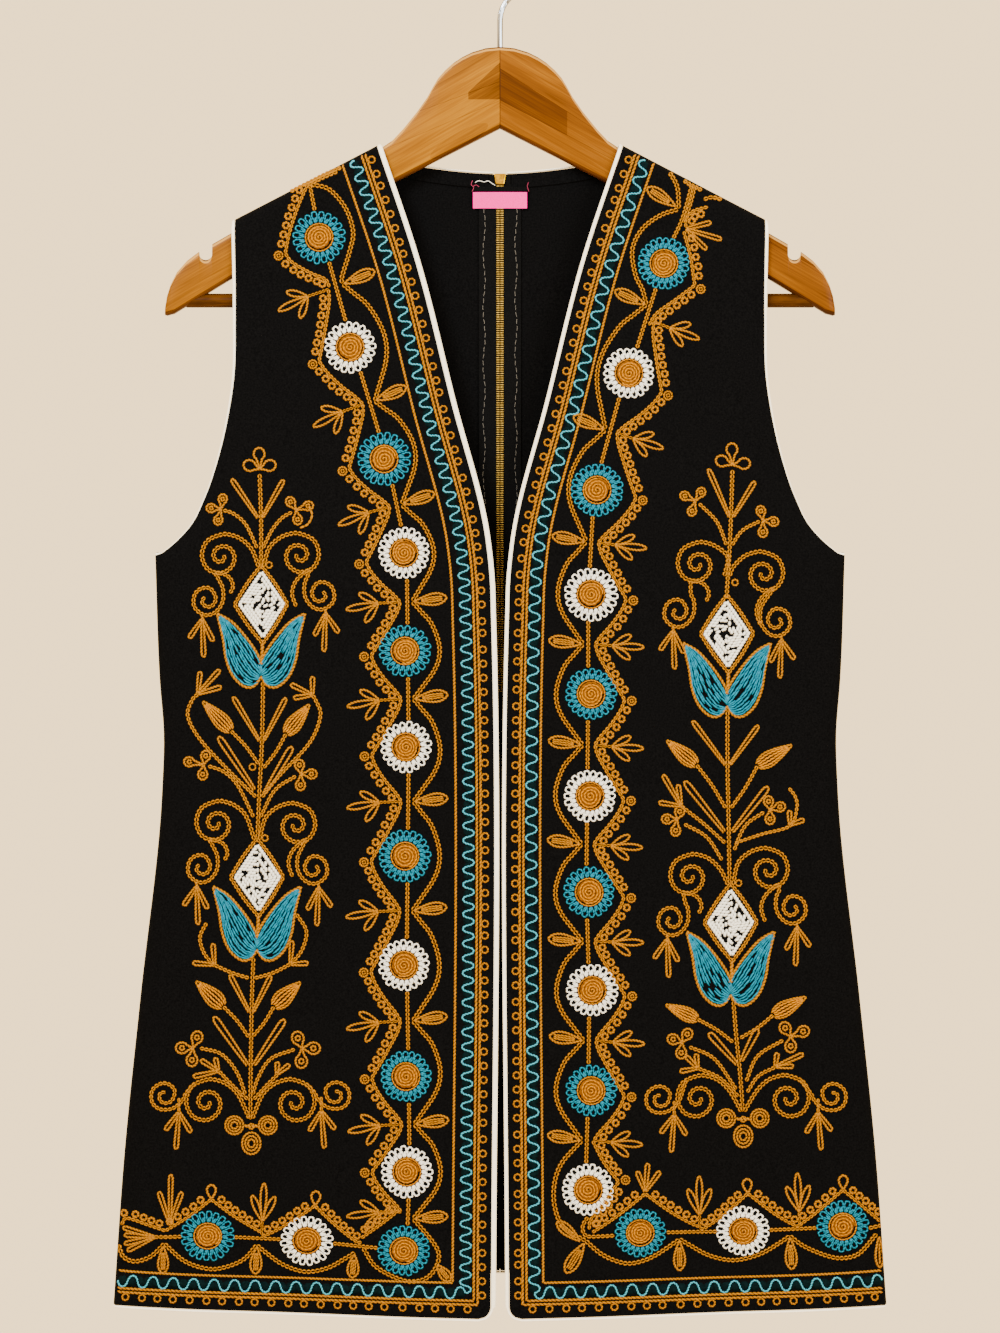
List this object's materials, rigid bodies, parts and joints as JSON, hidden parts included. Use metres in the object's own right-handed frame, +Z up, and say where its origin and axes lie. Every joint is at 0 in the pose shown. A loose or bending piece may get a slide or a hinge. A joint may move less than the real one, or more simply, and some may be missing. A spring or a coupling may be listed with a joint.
{
  "type": "embroidered folk vest on a wooden hanger",
  "caption": "Sleeveless open-front folk vest with chain-stitch embroidery and a back zip, hanging on a contoured wooden hanger with a wire hook.",
  "frame": {"origin": "top of the inside of the hanger's hook, where the rail bears", "axes": "+Z up, fronts face -Y, the wearer's left is +X"},
  "size_m": [0.5134, 0.0457, 0.9183],
  "materials": {
    "cloth": "matte woven black crepe",
    "piping": "cream satin binding",
    "zip_tape": "matte woven tape",
    "zip_metal": "polished",
    "label": "woven satin",
    "embroidery": "lustrous thread",
    "wood": "satin varnish",
    "hook_steel": "polished"
  },
  "bodies": {
    "vest": {"front_right": "cloth", "front_left": "cloth", "back_right": "cloth", "back_left": "cloth", "neck_facing_right": "cloth", "neck_facing_left": "cloth", "piping_front_right": "piping", "piping_front_left": "piping", "piping_armhole_right": "piping", "piping_armhole_left": "piping", "piping_neck_right": "piping", "piping_neck_left": "piping", "piping_hem_right": "piping", "piping_hem_left": "piping", "zip_tape_right": "zip_tape", "zip_tape_left": "zip_tape", "zip_chain": "zip_metal", "zip_slider": "zip_metal", "label": "label", "hanger_arm_right": "wood", "hanger_arm_left": "wood", "hanger_bar_right": "wood", "hanger_bar_left": "wood", "hanger_hook": "hook_steel"},
    "pull": {"zip_pull": "zip_metal"}
  },
  "joints": [
    {"name": "zip_pull_hinge", "type": "hinge", "parent": "vest", "child": "pull", "pos_m": [0, 0.01132, -0.1577], "axis": [1, 0, 0], "range_deg": [0, 170]}
  ]
}
